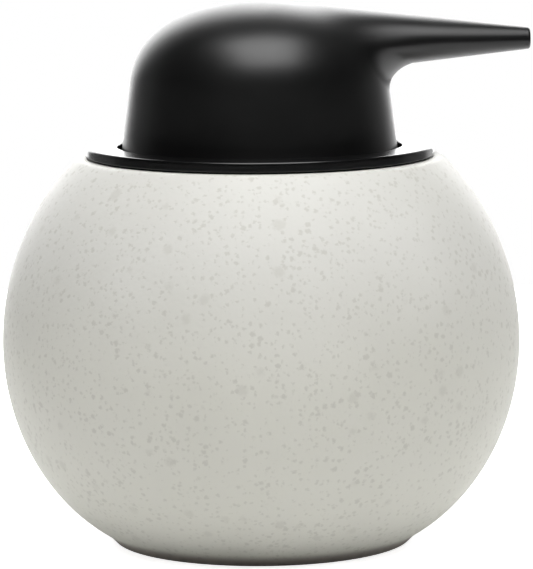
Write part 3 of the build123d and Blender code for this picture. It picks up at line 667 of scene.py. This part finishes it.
tube_low, tube_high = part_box("dip_tube")
dip = skin("suction_tube", tube_grid(tube_low.z / MM, tube_high.z / MM, TUBE_RADIUS, TUBE_WALL, TUBE_CUT))
place(dip, tube_clear, "pump", "tube_clear", "dip_tube")

spring_low, spring_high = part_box("return_spring")
spring = skin("coil_spring", coil_grid(spring_low.z / MM, spring_high.z / MM))
place(spring, spring_steel, "pump", "spring_steel", "return_spring")
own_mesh(spring)

kept = {
    "housing_gasket": seal_rubber, "chaplet": natural_plastic, "screw_collar": core_grey,
    "ball_cage": natural_plastic, "inlet_ball": ball_steel, "outlet_ball": ball_steel,
    "piston": piston_white, "piston_retainer": natural_plastic, "stem": natural_plastic,
    "head_core": core_grey, "spout_tube": tube_black,
}
for name, material in kept.items():
    for material_slot in nodes[name].material_slots:
        material_slot.material = material


# Studio

SURROUND = 0.02
FLOOR_DROP = 0.02
FLOOR_LIFT = 0.84
FLOOR_GLOW = 0.55
GLOW_START, GLOW_FULL = -0.05, 0.03


def studio_floor(radius=400.0, rings=6, ring=96):
    """A pale disc of floor under the foot, in rings about its centre. What the camera sees of it
    is lifted towards the white surround, so that only a soft shadow stays; what the pieces see of
    it glows behind them, as a lit sweep does."""
    reach = radius * np.linspace(0, 1, rings + 1)[:, None]
    angle = np.linspace(0, 2 * pi, ring, endpoint=False)
    level = 0 * reach * angle - FLOOR_DROP
    points = np.stack((reach * np.cos(angle), reach * np.sin(angle), level), axis=-1)
    index = 1 + np.arange(rings * ring).reshape(rings, ring)
    beside = np.roll(index, -1, axis=1)
    quads = np.stack((index[:-1], index[1:], beside[1:], beside[:-1]), axis=-1).reshape(-1, 4)
    fan = np.stack((0 * index[0], index[0], beside[0]), axis=-1)
    mesh = bpy.data.meshes.new("studio_floor")
    mesh.from_pydata((np.vstack((points[0, :1], points[1:].reshape(-1, 3))) * MM).tolist(), [],
                     fan.tolist() + quads.tolist())
    floor = bpy.data.objects.new("studio_floor", mesh)
    bpy.context.scene.collection.objects.link(floor)
    material, tree, shader, spot = finish("pale_floor", Roughness=0.7, Specular_IOR_Level=0.1,
                                          Emission_Color=(1, 1, 1, 1))
    shade = ramp(tree, noise(tree, spot, 3.0), 0.3, 0.7)
    pale = tint(tree, shade, (0.88, 0.88, 0.88, 1), (0.90, 0.90, 0.90, 1))
    tree.links.new(pale, shader.inputs["Base Color"])
    seen = add(tree, "ShaderNodeLightPath").outputs["Is Camera Ray"]
    depth = add(tree, "ShaderNodeSeparateXYZ", Vector=spot).outputs["Y"]
    behind = ramp(tree, depth, GLOW_START, GLOW_FULL, 0.0, FLOOR_GLOW)
    glow = add(tree, "ShaderNodeMix", {"data_type": "FLOAT"}, i0=seen, i2=behind, i3=FLOOR_LIFT)
    tree.links.new(glow.outputs[0], shader.inputs["Emission Strength"])
    mesh.materials.append(material)


def softbox(name, at, aim, width, depth, radiance, matt=True, mirrored=True, shape="RECTANGLE"):
    """A rectangular or elliptical soft light of even brightness, out of the camera's sight; it
    can be kept out of what matt surfaces gather or out of what glossy ones mirror."""
    data = bpy.data.lights.new(name, "AREA")
    data.shape = shape
    data.size, data.size_y = width, depth
    area = width * depth * (pi / 4 if shape == "ELLIPSE" else 1)
    data.energy = radiance * pi * area
    lamp = bpy.data.objects.new(name, data)
    lamp.location = at
    lamp.rotation_euler = (Vector(aim) - Vector(at)).to_track_quat("-Z", "Y").to_euler()
    lamp.visible_camera = False
    lamp.visible_diffuse = matt
    lamp.visible_glossy = mirrored
    bpy.context.scene.collection.objects.link(lamp)


def studio_world():
    """A dim surround that the camera sees as plain white."""
    world = bpy.data.worlds.new("studio")
    world.use_nodes = True
    bpy.context.scene.world = world
    tree = world.node_tree
    sky = tree.nodes["Background"]
    seen = add(tree, "ShaderNodeLightPath").outputs["Is Camera Ray"]
    level = add(tree, "ShaderNodeMix", {"data_type": "FLOAT"}, i0=seen, i2=SURROUND, i3=1.0).outputs[0]
    tree.links.new(level, sky.inputs["Strength"])
    sky.inputs["Color"].default_value = (1, 1, 1, 1)


def camera_at(azimuth, distance, height, aim_z, focal_px, roll, shift_px):
    """The photograph's camera: out from the axis at an azimuth from -Y towards +X, aimed at a
    height on the axis, rolled, with the frame's centre shifted by pixels of 533 x 569."""
    photo_rows = 569
    turn = radians(azimuth)
    eye = Vector((distance * sin(turn), -distance * cos(turn), height)) * MM
    aim = Vector((0, 0, aim_z)) * MM
    data = bpy.data.cameras.new("camera")
    data.sensor_fit = "VERTICAL"
    data.sensor_height = 36.0
    data.lens = focal_px * data.sensor_height / photo_rows
    data.shift_x, data.shift_y = shift_px[0] / photo_rows, shift_px[1] / photo_rows
    data.clip_start, data.clip_end = 0.01, 50
    camera = bpy.data.objects.new("camera", data)
    look = (aim - eye).to_track_quat("-Z", "Y").to_matrix().to_4x4()
    camera.matrix_world = Matrix.Translation(eye) @ look @ Matrix.Rotation(radians(roll), 4, "Z")
    bpy.context.scene.collection.objects.link(camera)
    bpy.context.scene.camera = camera


studio_floor()
studio_world()
softbox("overhead_softbox", (0.07, -0.375, 1.14), (0, 0, 0.08), 0.9, 0.98, 5.9)
softbox("ceiling", (0, 0, 3.0), (0, 0, 0), 9.0, 9.0, 0.70, mirrored=False)
softbox("front_fill", (0.8, -3.0, 1.2), (0, 0, 0.05), 4.0, 2.0, 0.05, mirrored=False)
softbox("back_card", (-0.13, 2.0, 0.70), (-0.13, 0, 0.70), 2.60, 2.0, 4.2, matt=False, shape="ELLIPSE")
softbox("right_card", (1.0, 1.88, 0.3), (0, 0, 0.1), 0.9, 1.2, 0.95, matt=False, shape="ELLIPSE")
softbox("wide_sweep", (-0.1, 1.4, 0.6), (-0.1, 0, 0.6), 8.0, 2.4, 0.22, matt=False)
camera_at(azimuth=0.0, distance=875.0, height=173.6, aim_z=57.0, focal_px=4170.0, roll=-0.45,
          shift_px=(5.8, -12.0))
bpy.context.scene.view_settings.view_transform = "Standard"
